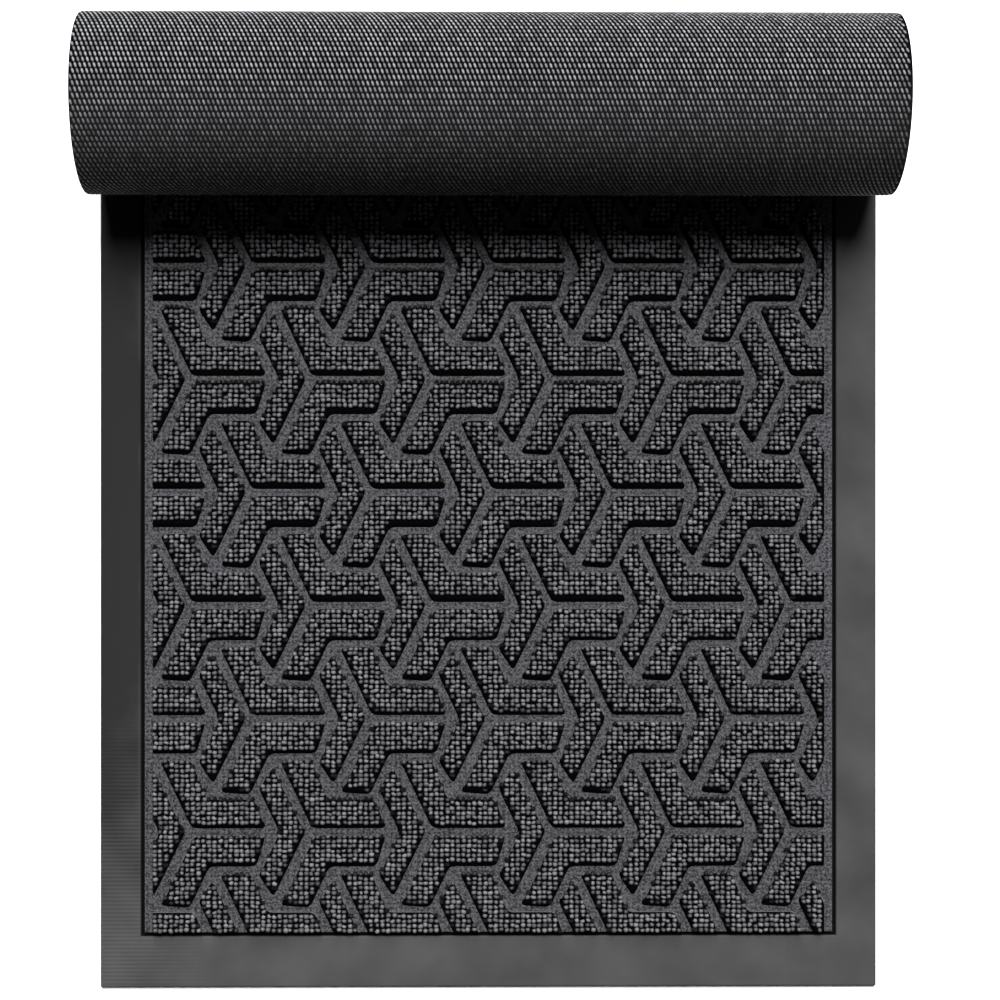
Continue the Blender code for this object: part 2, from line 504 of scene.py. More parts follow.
@dataclass(frozen=True)
class FeltFinish(Finish):
    """Needled polypropylene pressed flat between the islands: fuzzy, with the grid of the crushed loops."""

    sheen: float = 0.05
    relief: float = 0.0005
    fibre: float = 0.0010  # really 0.3 mm, drawn coarser so that the fuzz shows
    patch: float = 0.006  # across one patch where the crushed loops show
    across: float = 0.0030
    along: float = 0.0026
    grid_depth: float = 0.22  # against the fibres
    grid_shade: float = 0.16
    fuzz: Fade = Fade(0.36, 0.64)

    def looks(self, add: Add, place: Socket) -> Looks:
        """Adds the fuzz and the patchy grid."""
        fibres = add("ShaderNodeTexNoise", {"Scale": 1 / self.fibre, "Detail": 4.0}, {"Vector": place})
        patches = add("ShaderNodeTexNoise", {"Scale": 1 / self.patch, "Detail": 2.0}, {"Vector": place})
        x, s, _ = add("ShaderNodeSeparateXYZ", links={0: place}).outputs
        waves = {0: self.wave(add, x, self.across), 1: self.wave(add, s, self.along)}
        grid = add("ShaderNodeMath", {"operation": "ADD"}, waves)
        blotchy = add("ShaderNodeMath", {"operation": "MULTIPLY"}, {0: grid, 1: patches})
        depth = {"operation": "MULTIPLY_ADD", 1: self.grid_depth}
        height = add("ShaderNodeMath", depth, {0: blotchy, 2: fibres})
        fuzz = add("ShaderNodeMapRange", self.fuzz.settings, {"Value": fibres})
        shading = {"operation": "MULTIPLY_ADD", 1: self.grid_shade, "use_clamp": True}
        return Looks(add("ShaderNodeMath", shading, {0: blotchy, 2: fuzz}), height)


@dataclass(frozen=True)
class YarnFinish(Finish):
    """Bulked polypropylene yarn: charcoal, each loop a little lighter or darker, with painted shade at its
    root and a painted highlight at its crown.
    """

    sheen: float = 0.05
    bump: float = 0.9
    relief: float = 0.00015
    filament: float = 0.0006  # really 0.05 mm, drawn coarser so that the strands show
    raised: Fade = Fade(0.0071, 0.0081, 0.0, 0.9)  # flat heights of a loop's root and crown: painted shade at the root, painted highlight at the crown
    tints: Fade = Fade(0.0, 1.0, 0.55, 1.15)  # from the darkest loop to the lightest

    def looks(self, add: Add, place: Socket) -> Looks:
        """Adds the strands, and the painted shade and highlight from root to crown."""
        strands = add("ShaderNodeTexNoise", {"Scale": 1 / self.filament, "Detail": 2.0}, {"Vector": place})
        flat_height = add("ShaderNodeSeparateXYZ", links={0: place}).outputs["Z"]
        tint = add("ShaderNodeAttribute", {"attribute_name": TINT}).outputs["Fac"]
        raised = add("ShaderNodeMapRange", self.raised.settings, {"Value": flat_height})
        strength = add("ShaderNodeMapRange", self.tints.settings, {"Value": tint})
        clamped = {"operation": "MULTIPLY", "use_clamp": True}
        return Looks(add("ShaderNodeMath", clamped, {0: raised, 1: strength}), strands)


@dataclass(frozen=True)
class ShadedFinish(Finish):
    """Painted shade: a nearly black matt finish for what lies between nubs or loops, in the groove round the
    carpet and on the islands' sides away from the lights.
    """

    speck: float = 0.0012
    fleck: float = 1.0  # how much the specks show
    dusted: Fade = Fade(ROLL_SHADE_FROM, ROLL_SHADE_TO, 0.0, 0.0)  # painted shade eased: paler towards the free end, where painted shade darkens the nubs

    def looks(self, add: Add, place: Socket) -> Looks:
        """Adds the specks and the easing of the painted shade towards the free end."""
        specks = add("ShaderNodeTexNoise", {"Scale": 1 / self.speck, "Detail": 2.0}, {"Vector": place})
        s = add("ShaderNodeSeparateXYZ", links={0: place}).outputs["Y"]
        dusted = add("ShaderNodeMapRange", self.dusted.settings, {"Value": s})
        flecked = {"operation": "MULTIPLY_ADD", 1: self.fleck}
        return Looks(add("ShaderNodeMath", flecked, {0: specks, 2: dusted}))


# ---------------------------------------------------------------- the roll


@dataclass(frozen=True)
class Roll:
    """How the flat mat curls: hinge lines on a circle, read from the frame.

    Each stretch runs from the middle of one strip to the middle of the next, round one hinge. At rest its
    points lean with the strips at both its ends and turn smoothly in between.
    """

    near_edge: float
    first_hinge: float
    strip: float
    turn: float
    bodies: tuple[str, ...]
    length: float
    width: float
    blend_height: float = 0.0090
    rounds: int = 24  # halvings in the search for an angle

    @classmethod
    def of_frame(cls, frame: dict) -> Roll:
        """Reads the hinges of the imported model.


        Returns:
            The roll.
        """
        joints = sorted(frame["joints"], key=lambda joint: joint["child"])
        spots = [joint["pos_m"] for joint in joints]
        low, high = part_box("rubber_panel")
        strip = math.dist(spots[0], spots[1])
        first_hinge = spots[0][1] - low.y
        bodies = (joints[0]["parent"], *(joint["child"] for joint in joints))
        return cls(
            near_edge=low.y,
            first_hinge=first_hinge,
            strip=strip,
            turn=math.radians(joints[0]["range_deg"][1]),
            bodies=bodies,
            length=first_hinge + strip * len(joints),
            width=high.x - low.x,
        )

    @property
    def hinge_radius(self) -> float:
        """From the roll's centre to the hinge lines."""
        return self.strip / (2 * math.sin(self.turn / 2))

    @property
    def radius(self) -> float:
        """From the roll's centre to the smooth underside."""
        return self.strip / (2 * math.tan(self.turn / 2))

    @property
    def start(self) -> float:
        """Where the underside leaves the floor, from the near edge."""
        return self.first_hinge - self.strip / 2

    @property
    def stretches(self) -> int:
        """How many stretches bend, each round its own hinge."""
        return len(self.bodies) - 1

    def bent(self, offset: np.ndarray, height: np.ndarray) -> np.ndarray:
        """Finds the angle from the middle of a stretch whose point lands on a flat offset when it opens.

        Args:
            offset: Flat distance from the hinge, for each point.
            height: Flat height, for each point.

        Returns:
            The angle of each point.
        """
        reach = self.radius - height
        reference = 2 * (self.radius - self.blend_height) * math.sin(self.turn / 2)
        low = np.full(len(offset), -self.turn / 2)
        high = -low
        for _ in range(self.rounds):
            angle = (low + high) / 2
            share = np.clip(0.5 + reach * np.sin(angle) / reference, 0, 1)
            lean = (share * share * (3 - 2 * share) - 0.5) * self.turn
            rise = self.hinge_radius - reach * np.cos(angle)
            landed = reach * np.sin(angle) * np.cos(lean) + rise * np.sin(lean)
            low = np.where(landed < offset, angle, low)
            high = np.where(landed < offset, high, angle)
        return (low + high) / 2

    def placed(self, flat: np.ndarray) -> np.ndarray:
        """Moves points from the flat layout to the mat at rest.

        Args:
            flat: (n, 3), places in the flat layout.

        Returns:
            (n, 3), places in the frame.
        """
        x, s, height = flat.T
        past = s - self.start
        stretch = np.clip(np.floor(past / self.strip), 0, self.stretches)
        offset = past - (stretch + 0.5) * self.strip
        last = stretch == self.stretches
        angle = np.empty(len(flat))
        angle[~last] = self.bent(np.maximum(offset[~last], -self.strip / 2), height[~last])
        angle[last] = offset[last] / self.strip * self.turn
        around = (stretch + 0.5) * self.turn + angle
        reach = self.radius - height
        curled = past > 0
        y = np.where(curled, self.start + reach * np.sin(around), s)
        z = np.where(curled, self.radius - reach * np.cos(around), height)
        return np.stack([x, self.near_edge + y, z], axis=1)

    def span(self, number: int) -> Span:
        """The flat start and end of a stretch.

        Args:
            number: 0 for the flat panel, then 1 for the stretch round the first hinge, and so on.

        Returns:
            The two distances from the near edge. None means that there is no cut there.
        """
        if number == 0:
            return None, self.start
        end = self.start + number * self.strip
        return end - self.strip, end if number <= self.stretches else None

    def settle(self, obj: Piece) -> None:
        """Stores each point's flat place, then curls the object onto the roll."""
        flat = points_of(obj)
        set_attribute(obj, PLACE, flat)
        set_points(obj, self.placed(flat))

    def join_frame(self, obj: Piece, number: int) -> None:
        """Attaches a piece of the flat panel or of the last stretch to its body; other pieces only have
        their place baked in.

        Args:
            obj: A piece of one stretch.
            number: Which stretch it is.
        """
        if number in (0, self.stretches + 1):
            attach(obj, self.bodies[min(number, self.stretches)])
            return
        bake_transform(obj)


def cut_out(layer: Piece, name: str, span: Span, steps: int) -> Piece:
    """Cuts one stretch out of a flat layer and closes its cut ends.

    Args:
        layer: The whole flat layer.
        name: The piece's name.
        span: Where the stretch starts and ends.
        steps: How many flat facets the stretch has along the curl.

    Returns:
        The stretch, still flat.
    """
    piece = add_object(name, layer.data.copy())
    with editing(piece):
        for side, s in zip(Side, span):
            if s is not None:
                slice_at((0, s, 0), (0, 1, 0), side)
        if None not in span:
            for i in range(1, steps):
                slice_at((0, span[0] + (span[1] - span[0]) * i / steps, 0), (0, 1, 0))
    return piece


# ---------------------------------------------------------------- layers


@dataclass
class RubberTray:
    """The moulded rubber base: a flat border round a sunken tray that holds the carpet."""

    roll: Roll
    thickness: float = 0.0035
    floor: float = 0.0020
    side_border: float = 0.0225
    near_border: float = 0.0282
    far_border: float = 0.0333
    edge_round: float = 0.0010
    rim_round: float = 0.0008

    def layer(self, material: Material, shaded_rubber: Material) -> Piece:
        """Models the whole tray, flat.

        Args:
            material: The rubber.
            shaded_rubber: Nearly black rubber of painted shade, between the nubs of its underside and in the
                groove round the carpet.

        Returns:
            The layer.
        """
        half = self.roll.width / 2
        tray = add_block("tray", (-half, 0, 0), (half, self.roll.length, self.thickness))
        inner = half - self.side_border
        near, far = self.near_border, self.roll.length - self.far_border
        with editing(tray):
            pick(tray, Element.EDGE, lambda e: all(v.co.z > self.floor for v in e.verts))
            bpy.ops.mesh.bevel(offset=self.edge_round, segments=3, affect="EDGES")
            for place, normal in (
                ((-inner, 0, 0), (1, 0, 0)),
                ((inner, 0, 0), (1, 0, 0)),
                ((0, near, 0), (0, 1, 0)),
                ((0, far, 0), (0, 1, 0)),
            ):
                slice_at(place, normal)

            def sunken(face: bmesh.types.BMFace) -> bool:
                """Whether a face lies where the tray is sunk."""
                centre = face.calc_center_median()
                return face.normal.z > FACING and abs(centre.x) < inner and near < centre.y < far

            pick(tray, Element.FACE, sunken)
            depth = self.thickness - self.floor
            bpy.ops.mesh.extrude_region_move(TRANSFORM_OT_translate={"value": (0, 0, -depth)})

            def on_rim(edge: bmesh.types.BMEdge) -> bool:
                """Whether an edge runs along the border's inner rim."""
                return len(edge.link_faces) == 2 and all(
                    v.co.z > self.thickness - HAIR
                    and abs(v.co.x) < inner + HAIR
                    and near - HAIR < v.co.y < far + HAIR
                    for v in edge.verts
                )

            pick(tray, Element.EDGE, on_rim)
            bpy.ops.mesh.bevel(offset=self.rim_round, segments=2, affect="EDGES")
        tray.data.materials.append(material)
        tray.data.materials.append(shaded_rubber)
        # The underside between the nubs and the floor of the groove round the carpet are painted shade.
        for face in tray.data.polygons:
            underneath = face.normal.z < -FACING
            sunk = face.normal.z > FACING and face.center.z < self.floor + HAIR
            face.material_index = int(underneath or sunk)
        return tray


@dataclass
class GripNubs:
    """The cloth mark on the underside: slanted oval nubs in staggered rows."""

    roll: Roll
    across: float = 0.00243
    along: float = 0.0032
    size: Triple = (0.00079, 0.00194, 0.00042)
    slant: float = math.radians(-20)
    margin: float = 0.0011
    first_bare: float = 0.0060  # past where the roll leaves the floor
    sides: int = 6  # facets round a nub
    rings: int = 4  # and from pole to pole of the ball that it is cut from

    def pattern(self, material: Material) -> Piece:
        """Models one nub: the lower half of a ball, squeezed and closed.

        Args:
            material: The nub's rubber.

        Returns:
            The nub, hanging down from the underside.
        """
        deselect()
        bpy.ops.mesh.primitive_uv_sphere_add(segments=self.sides, ring_count=self.rings, radius=1)
        nub = bpy.context.object
        nub.scale = self.size
        nub.rotation_euler = (0, 0, self.slant)
        bpy.ops.object.transform_apply()
        with editing(nub):
            middle = (0, 0, 2 * HAIR)
            bpy.ops.mesh.bisect(plane_co=middle, plane_no=(0, 0, 1), use_fill=True, clear_outer=True)
        bpy.ops.object.shade_smooth()
        nub.data.materials.append(material)
        return nub

    def nubs(self, material: Material) -> Scatter:
        """Works out where every nub hangs."""
        rows = np.arange(self.roll.start + self.first_bare, self.roll.length - self.margin, self.along)
        half = self.roll.width / 2 - self.margin
        found = []
        for number, s in enumerate(rows):
            xs = np.arange(-half + (number % 2) * self.across / 2, half, self.across)
            found.append(np.stack([xs, np.full(len(xs), s), np.zeros(len(xs))], axis=1))
        places = np.concatenate(found)
        return Scatter(self.pattern(material), upright(len(places)), places)


@dataclass
class Carpet:
    """The pressed carpet sheet and the raised islands that the loops stand on."""

    roll: Roll
    tray: RubberTray
    moat: float = 0.0022
    lift: float = 0.0003
    ground: float = 0.0044
    block_top: float = 0.0064
    pile_top: float = 0.0082
    root: float = 0.0008
    edge_round: float = 0.0006
    wall_run: float = 0.0014
    shoulder_run: float = 0.6  # share of the wall's run at its shoulder
    shoulder_rise: float = 0.8  # and of its rise
    felt_side: float = 0.25  # a side whose normal points further to the far end, towards the lights, than this is felt; the others are painted shade
    skirt: float = 0.0012  # how far an island's foot spreads towards the near edge, on its painted-shade side
    corner_round: float = 0.0030
    corner_steps: int = 3
    sliver: float = 0.0032  # an island that reaches into the field by less than this is left out
    side_margin: float = 0.0048
    end_margin: float = 0.0004
    repeat: tuple[float, float] = (0.0667, 0.06285)
    first_centre: tuple[float, float] = (-0.1330, 0.2768)
    outlines: tuple[tuple[tuple[float, float], ...], ...] = ISLAND_FEET

    @property
    def half_width(self) -> float:
        """Half the width of the carpet."""
        return self.roll.width / 2 - self.tray.side_border - self.moat

    @property
    def ends(self) -> tuple[float, float]:
        """Where the carpet starts and ends along the mat."""
        near = self.tray.near_border + self.moat
        return near, self.roll.length - self.tray.far_border - self.moat

    @property
    def field(self) -> tuple[float, float, float, float]:
        """The part of the carpet that islands may fill: lowest x and s, then highest x and s."""
        half = self.half_width - self.side_margin
        near, far = self.ends
        return -half, near + self.end_margin, half, far - self.end_margin

    def sheet(self, material: Material) -> Piece:
        """Models the pressed sheet, flat.

        Args:
            material: The felt.

        Returns:
            The layer.
        """
        near, far = self.ends
        low = (-self.half_width, near, self.tray.floor + self.lift)
        sheet = add_block("sheet", low, (self.half_width, far, self.ground))
        with editing(sheet):
            pick(sheet, Element.EDGE, lambda e: all(v.co.z > self.ground - HAIR for v in e.verts))
            bpy.ops.mesh.bevel(offset=self.edge_round, segments=2, affect="EDGES")
        sheet.data.materials.append(material)
        return sheet

    def centres(self) -> np.ndarray:
        """The centres of the pattern in and round the field, row by row."""
        low_x, low_s, high_x, high_s = self.field
        across, along = self.repeat
        x, s = self.first_centre
        first_row, last_row = math.floor((low_s - s) / along) - 1, math.ceil((high_s - s) / along) + 1
        first, last = math.floor((low_x - x) / across) - 1, math.ceil((high_x - x) / across) + 1
        return np.array(
            [
                (x + column * across + (across / 2 if row % 2 else 0.0), s + row * along)
                for row in range(first_row, last_row + 1)
                for column in range(first, last + 1)
            ]
        )

    def outline(self, number: int) -> np.ndarray:
        """One island's foot round a centre, in metres, anticlockwise."""
        points = np.array(self.outlines[number]) * np.array(self.repeat)
        ahead = np.roll(points, -1, axis=0)
        area = np.sum(points[:, 0] * ahead[:, 1] - points[:, 1] * ahead[:, 0])
        return points if area > 0 else points[::-1]

    def island(self, number: int, material: Material, painted_shade: Material) -> Piece:
        """Models one island round the origin: a rounded block whose sides lean in.

        Args:
            number: Which outline it has.
            material: The felt, pulled up over the side that faces the far end.
            painted_shade: Painted shade, nearly black, on its top between the loops and on the sides that
                face away from the lights.

        Returns:
            The island.
        """
        foot = self.outline(number)
        rise = self.block_top - self.ground
        levels = (
            (0.0, self.skirt, self.ground - self.root),
            (0.0, self.skirt, self.ground),
            (
                self.shoulder_run * self.wall_run,
                (1 - self.shoulder_run) * self.skirt,
                self.ground + self.shoulder_rise * rise,
            ),
            (self.wall_run, 0.0, self.block_top),
        )
        rings = [rounded(narrowed(foot, run), self.corner_round, self.corner_steps) for run, _, _ in levels]
        points = [(x, y - slip, z) for ring, (_, slip, z) in zip(rings, levels) for x, y in ring]
        count = len(rings[0])
        top = count * (len(levels) - 1)
        faces = [tuple(reversed(range(count))), tuple(range(top, top + count))]
        for level in range(len(levels) - 1):
            for i in range(count):
                low, following = level * count + i, level * count + (i + 1) % count
                faces.append((low, following, following + count, low + count))
        mesh = bpy.data.meshes.new("island")
        mesh.from_pydata(points, [], faces)
        island = add_object("island", mesh)
        island.data.materials.append(material)
        island.data.materials.append(painted_shade)
        # Painted shade: the top between the loops and every side that faces away from the lights.
        for face in island.data.polygons:
            on_top = face.center.z > self.block_top - HAIR
            face.material_index = int(on_top or face.normal.y < self.felt_side)
        return island

    def raised(self, material: Material, painted_shade: Material) -> Piece:
        """Copies the islands to every centre and trims them to the field.

        Args:
            material: The felt.
            painted_shade: Painted shade, nearly black.

        Returns:
            The flat layer of islands.
        """
        low_x, low_s, high_x, high_s = self.field
        centres = self.centres()
        parts = []
        for number in range(len(self.outlines)):
            pattern = self.island(number, material, painted_shade)
            foot = self.outline(number)
            reaches_in = centres + foot.max(axis=0) > np.array([low_x, low_s]) + self.sliver
            starts_in = centres + foot.min(axis=0) < np.array([high_x, high_s]) - self.sliver
            inside = (reaches_in & starts_in).all(axis=1)
            places = np.column_stack([centres[inside], np.zeros(inside.sum())])
            parts.append(Scatter(pattern, upright(len(places)), places).stamped(f"islands_{number}"))
            remove(pattern)
        islands = joined("islands", parts)
        with editing(islands):
            for place, normal in (
                ((low_x, 0, 0), (-1, 0, 0)),
                ((high_x, 0, 0), (1, 0, 0)),
                ((0, low_s, 0), (0, -1, 0)),
                ((0, high_s, 0), (0, 1, 0)),
            ):
                slice_at(place, normal, Side.BEYOND)
        return islands


@dataclass
class LoopPile:
    """The loops of yarn that stand on the islands, in straight rows both ways."""

    carpet: Carpet
    across: float = 0.0030
    along: float = 0.0026
    arch: float = 0.00074  # radius of the yarn's path
    yarn: float = 0.00062  # radius of the yarn, seen along the rows
    spread: float = 1.84  # how much wider the flattened yarn is the other way
    leg: float = 0.0009
    ring_steps: int = 8  # facets along the whole ring of a loop
    yarn_sides: int = 5  # and round its yarn
    rim: float = 0.0009  # closest a loop stands to an island's foot
    near_rim: float = 0.0005  # how much further in, on sides that face the near edge
    faces_near: float = -0.5  # a side whose direction points further to the near edge than this does so
    first_in: float = 0.0013  # from the field's edges to the first rows
    jitter: float = 0.00024  # typical distance of a loop from its place in the rows
    pressed: float = 0.85  # height left of a loop's arch
    droop: float = 0.0013  # how much lower a loop stands at an island's edge
    lean: float = math.radians(28)  # how far such a loop leans outwards
    spin: float = math.radians(26)  # typical turn of a loop
    uneven: float = 0.00012  # typical difference in height
    variety: Triple = (0.12, 0.12, 0.06)  # typical difference in size

    def pattern(self, material: Material) -> Piece:
        """Models one loop: half a ring of flattened yarn standing on its two legs.

        Args:
            material: The yarn.

        Returns:
            The loop, its arch round the origin and its crown up.
        """
        deselect()
        bpy.ops.mesh.primitive_torus_add(
            major_radius=self.arch,
            minor_radius=self.yarn,
            major_segments=self.ring_steps,
            minor_segments=self.yarn_sides,
            rotation=(math.pi / 2, 0, 0),
        )
        loop = bpy.context.object
        loop.scale = (1, self.pressed, self.spread)
        bpy.ops.object.transform_apply()
        with editing(loop):
            bpy.ops.mesh.bisect(plane_co=(0, 0, HAIR), plane_no=(0, 0, 1), use_fill=True, clear_inner=True)
            pick(loop, Element.FACE, lambda f: f.normal.z < -FACING and f.calc_center_median().z < 10 * HAIR)
            bpy.ops.mesh.extrude_region_move(TRANSFORM_OT_translate={"value": (0, 0, -self.leg)})
        bpy.ops.object.shade_smooth()
        loop.data.materials.append(material)
        return loop

    def standing(self) -> tuple[np.ndarray, np.ndarray, np.ndarray]:
        """Finds where loops stand.

        Returns:
            (n, 2) grid places, (n,) distances from the island's edge and (n, 2) directions away from it.
        """
        start, end = np.array(self.carpet.field).reshape(2, 2)
        pitch = np.array([self.across, self.along])
        origin = start + self.first_in
        places, depths, leans = [], [], []
        for number in range(len(self.carpet.outlines)):
            foot = self.carpet.outline(number)
            for centre in self.carpet.centres():
                corners = foot + centre
                first = np.maximum(corners.min(axis=0), start)
                last = np.minimum(corners.max(axis=0), end)
                if np.any(first >= last):
                    continue
                low, high = np.ceil((first - origin) / pitch), np.floor((last - origin) / pitch)
                columns, rows = np.arange(low[0], high[0] + 1), np.arange(low[1], high[1] + 1)
                spots = np.stack(np.meshgrid(columns, rows), -1).reshape(-1, 2) * pitch + origin
                depth, away = edge_distance(spots, corners)
                inside_field = np.minimum(spots - start, end - spots).min(axis=1)
                rim = self.rim + np.where(away[:, 1] < self.faces_near, self.near_rim, 0)
                keep = (depth > rim) & (inside_field > self.rim)
                places.append(spots[keep])
                depths.append(depth[keep])
                leans.append(away[keep])
        return np.concatenate(places), np.concatenate(depths), np.concatenate(leans)

    def loops(self, material: Material) -> Scatter:
        """Works out where every loop stands, how it leans and how big it is."""
        rng = np.random.default_rng(SEED)
        spots, depth, away = self.standing()
        count = len(spots)
        spots = spots + rng.normal(0, self.jitter, (count, 2))
        edge = np.clip((depth - self.rim) / self.carpet.wall_run, 0, 1)
        rise = self.carpet.pile_top - self.pressed * (self.arch + self.yarn)
        height = rise - (1 - edge) * self.droop + rng.normal(0, self.uneven, count)
        spin = rng.normal(0, self.spin, count)
        size = 1 + rng.normal(0, 1, (count, 1, 3)) * np.array(self.variety)
        frames = tipped(away, (1 - edge) * self.lean) @ (turned(spin) * size)
        return Scatter(self.pattern(material), frames, np.column_stack([spots, height]))


def narrowed(corners: np.ndarray, inset: float) -> np.ndarray:
    """Moves every side of an anticlockwise polygon inwards by the same distance."""
    sides = np.roll(corners, -1, axis=0) - corners
    sides /= np.linalg.norm(sides, axis=1)[:, None]
    inwards = np.stack([-sides[:, 1], sides[:, 0]], axis=1)
    before = np.roll(inwards, 1, axis=0)
    opening = 1 + np.sum(inwards * before, axis=1)
    return corners + inset * (inwards + before) / opening[:, None]


def rounded(corners: np.ndarray, reach: float, steps: int, most: float = 0.42) -> np.ndarray:
    """Rounds every corner of a polygon.

    Args:
        corners: (m, 2), the polygon.
        reach: How far from a corner its curve starts.
        steps: How many sides each curve has.
        most: The largest share of a side that a curve may take.

    Returns:
        (m * (steps + 1), 2), the rounded polygon.
    """
    sides = np.roll(corners, -1, axis=0) - corners
    lengths = np.linalg.norm(sides, axis=1)
    ways = sides / lengths[:, None]
    start = np.minimum(reach, most * np.minimum(lengths, np.roll(lengths, 1)))[:, None]
    share = np.linspace(0, 1, steps + 1)[None, :, None]
    first = (corners - start * np.roll(ways, 1, axis=0))[:, None]
    last = (corners + start * ways)[:, None]
    curve = (1 - share) ** 2 * first + 2 * share * (1 - share) * corners[:, None] + share**2 * last
    return curve.reshape(-1, 2)


def edge_distance(spots: np.ndarray, corners: np.ndarray) -> tuple[np.ndarray, np.ndarray]:
    """How deep points lie inside a polygon, and which way its nearest edge is.

    Args:
        spots: (n, 2), the points.
        corners: (m, 2), the polygon, anticlockwise.

    Returns:
        (n,) distances, negative outside, and (n, 2) unit directions towards the nearest edge.
    """
    nearest = np.full(len(spots), np.inf)
    away = np.zeros((len(spots), 2))
    crossings = np.zeros(len(spots), int)
    for start, end in zip(corners, np.roll(corners, -1, axis=0)):
        run = end - start
        share = np.clip((spots - start) @ run / (run @ run), 0, 1)
        gap = start + share[:, None] * run - spots
        distance = np.linalg.norm(gap, axis=1)
        closer = distance < nearest
        nearest = np.where(closer, distance, nearest)
        away[closer] = gap[closer] / np.maximum(distance[closer], TINY)[:, None]
        straddles = (start[1] > spots[:, 1]) != (end[1] > spots[:, 1])
        slope = run[0] / run[1] if abs(run[1]) > TINY else 0.0
        crossings += straddles & (spots[:, 0] < start[0] + slope * (spots[:, 1] - start[1]))
    return np.where(crossings % 2 == 1, nearest, -nearest), away


def turned(angles: np.ndarray) -> np.ndarray:
    """(n, 3, 3) turns about the upright axis."""
    frames = np.zeros((len(angles), 3, 3))
    frames[:, 0, 0] = frames[:, 1, 1] = np.cos(angles)
    frames[:, 0, 1] = -np.sin(angles)
    frames[:, 1, 0] = np.sin(angles)
    frames[:, 2, 2] = 1
    return frames


def tipped(towards: np.ndarray, angles: np.ndarray) -> np.ndarray:
    """(n, 3, 3) leans of an upright thing towards flat directions."""
    x, y = towards.T
    c, s = np.cos(angles), np.sin(angles)
    frames = np.zeros((len(angles), 3, 3))
    frames[:, 0, 0] = 1 - x * x * (1 - c)
    frames[:, 0, 1] = frames[:, 1, 0] = -x * y * (1 - c)
    frames[:, 1, 1] = 1 - y * y * (1 - c)
    frames[:, 0, 2], frames[:, 1, 2] = x * s, y * s
    frames[:, 2, 0], frames[:, 2, 1] = -x * s, -y * s
    frames[:, 2, 2] = c
    return frames


def joined(name: str, parts: list[Piece]) -> Piece:
    """Joins objects into the first one and names it.

    Args:
        name: The result's name.
        parts: The objects.

    Returns:
        The joined object.
    """
    make_active(parts[0])
    for part in parts[1:]:
        part.select_set(True)
    if len(parts) > 1:
        bpy.ops.object.join()
    parts[0].name = name
    return parts[0]


# ---------------------------------------------------------------- the mat


@dataclass
class DoorMat:
    """The whole mat: its layers, cut into stretches along the frame's strips."""

    roll: Roll
    solids: frozenset[str]  # names of the frame's nodes
    facets: int = 7
    pile_rows: int = 8
    sharp_from: float = math.radians(32)  # edges sharper than this stay sharp
    tray: RubberTray = field(init=False)
    carpet: Carpet = field(init=False)

    def __post_init__(self) -> None:
        """Sets up the layers on the roll."""
        self.tray = RubberTray(self.roll)
        self.carpet = Carpet(self.roll, self.tray)

    def stretch_of(self, scatter: Scatter) -> np.ndarray:
        """Which stretch each copy stands on."""
        past = (scatter.places[:, 1] - self.roll.start) / self.roll.strip
        return np.clip(np.floor(past) + 1, 0, self.roll.stretches + 1).astype(int)

    def build(self, finishes: dict[str, Material]) -> None:
        """Builds every piece and hands it to the frame.

        Args:
            finishes: The materials, by name.
        """
        tray = self.tray.layer(finishes["rubber"], finishes["dusty_rubber"])
        sheet = self.carpet.sheet(finishes["felt"])
        islands = self.carpet.raised(finishes["felt"], finishes["yarn_feet"])
        nubs = GripNubs(self.roll).nubs(finishes["nubs"])
        loops = LoopPile(self.carpet).loops(finishes["yarn"])
        nub_stretch, loop_stretch = self.stretch_of(nubs), self.stretch_of(loops)
        LOG.info("%d nubs, %d loops", len(nubs.places), len(loops.places))
        for number in range(self.roll.stretches + 2):
            rubber = self.cut(tray, number)
            chosen = nub_stretch == number
            if chosen.any():
                rubber.append(nubs.stamped("nubs", chosen))
            self.finish(rubber, number, "rubber")
            span = self.roll.span(number)
            if span[0] is not None and span[0] > self.carpet.ends[1] - 10 * HAIR:
                continue
            textile = self.cut(sheet, number) + self.cut(islands, number)
            chosen = loop_stretch == number
            if number and chosen.any():
                textile.append(loops.stamped("loops", chosen))
            self.finish(textile, number, "carpet")
        on_panel = np.flatnonzero(loop_stretch == 0)
        order = on_panel[np.argsort(loops.places[on_panel, 1], kind="stable")]
        for row, chosen in enumerate(np.array_split(order, self.pile_rows), start=1):
            self.hand_over(loops.stamped(f"pile_band_{row}", chosen), 0)
        remove(tray, sheet, islands, nubs.pattern, loops.pattern)

    def cut(self, layer: Piece, number: int) -> list[Piece]:
        """Cuts one stretch out of a flat layer, smooth where it curves and sharp at real edges.

        Args:
            layer: The whole flat layer.
            number: Which stretch.

        Returns:
            The part, or nothing where the layer doesn't reach.
        """
        part = cut_out(layer, "part", self.roll.span(number), self.facets)
        if not part.data.polygons:
            remove(part)
            return []
        make_active(part)
        bpy.ops.object.shade_smooth_by_angle(angle=self.sharp_from)
        return [part]

    def finish(self, parts: list[Piece], number: int, layer: str) -> None:
        """Joins the parts of a stretch and hides the solid that they stand for.

        Args:
            parts: What the stretch is made of, flat.
            number: Which stretch it is.
            layer: Starts the names of the piece and of the solid it stands for.
        """
        piece = joined(f"{layer}_panel" if number == 0 else f"{layer}_roll_{number:02d}", parts)
        solid = f"{layer}_panel" if number == 0 else f"{layer}_strip_{number:02d}"
        self.hand_over(piece, number)
        if solid in self.solids:
            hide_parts(solid)

    def hand_over(self, piece: Piece, number: int) -> None:
        """Curls a piece onto the roll and passes it to join_frame.

        Args:
            piece: The piece, flat.
            number: Which stretch it is.
        """
        self.roll.settle(piece)
        if piece.data.attributes.get(TINT) is None:
            set_attribute(piece, TINT, np.full(len(piece.data.vertices), LEVEL))
        self.roll.join_frame(piece, number)
        LOG.info("%s: %d faces", piece.name, len(piece.data.polygons))


# ---------------------------------------------------------------- the studio


